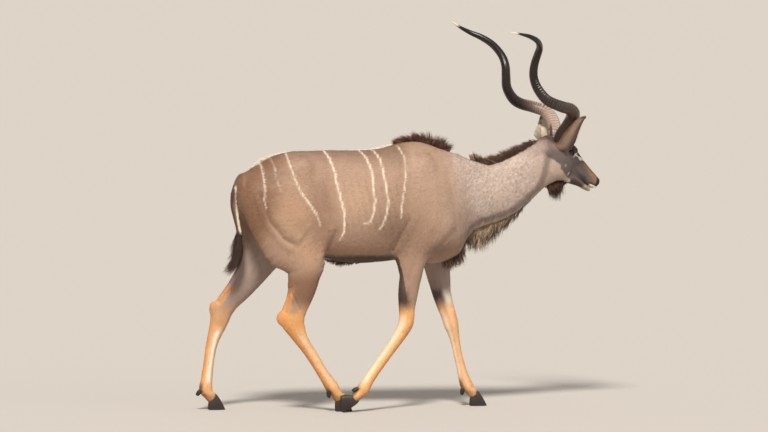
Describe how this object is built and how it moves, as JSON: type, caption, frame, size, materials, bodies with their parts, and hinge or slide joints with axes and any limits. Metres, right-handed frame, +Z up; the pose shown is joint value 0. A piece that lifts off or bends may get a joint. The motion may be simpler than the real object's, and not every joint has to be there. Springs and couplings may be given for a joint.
{
  "type": "greater kudu",
  "caption": "Life-size greater kudu bull in mid-stride, head turned aside, with open spiral horns, a shoulder crest, nape mane, throat fringe and a tufted tail.",
  "frame": {"origin": "middle of the whole animal's footprint, on the floor that the hooves stand on", "axes": "+X the way the animal walks, +Y its left side, +Z up"},
  "size_m": [2.1966, 0.7777, 2.0562],
  "materials": {
    "coat": "short soft fur, matt, fawn grey-brown with white stripes",
    "horn": "horn, satin, ridged at the base, paler at the tips",
    "hoof": "hoof horn, satin, dark grey",
    "eye": "polished, wet, nearly black"
  },
  "bodies": {
    "root": {"torso": "coat", "neck": "coat", "tail": "coat", "head": "coat", "ear_right": "coat", "ear_left": "coat", "eye_right": "eye", "eye_left": "eye", "horn_right": "horn", "horn_left": "horn", "leg_hind_right": "coat", "leg_hind_left": "coat", "leg_fore_right": "coat", "leg_fore_left": "coat", "hoof_hind_right_right": "hoof", "hoof_hind_right_left": "hoof", "hoof_hind_left_right": "hoof", "hoof_hind_left_left": "hoof", "hoof_fore_right_right": "hoof", "hoof_fore_right_left": "hoof", "hoof_fore_left_right": "hoof", "hoof_fore_left_left": "hoof", "dewclaw_hind_right_right": "hoof", "dewclaw_hind_right_left": "hoof", "dewclaw_hind_left_right": "hoof", "dewclaw_hind_left_left": "hoof", "dewclaw_fore_right_right": "hoof", "dewclaw_fore_right_left": "hoof", "dewclaw_fore_left_right": "hoof", "dewclaw_fore_left_left": "hoof"}
  },
  "joints": []
}
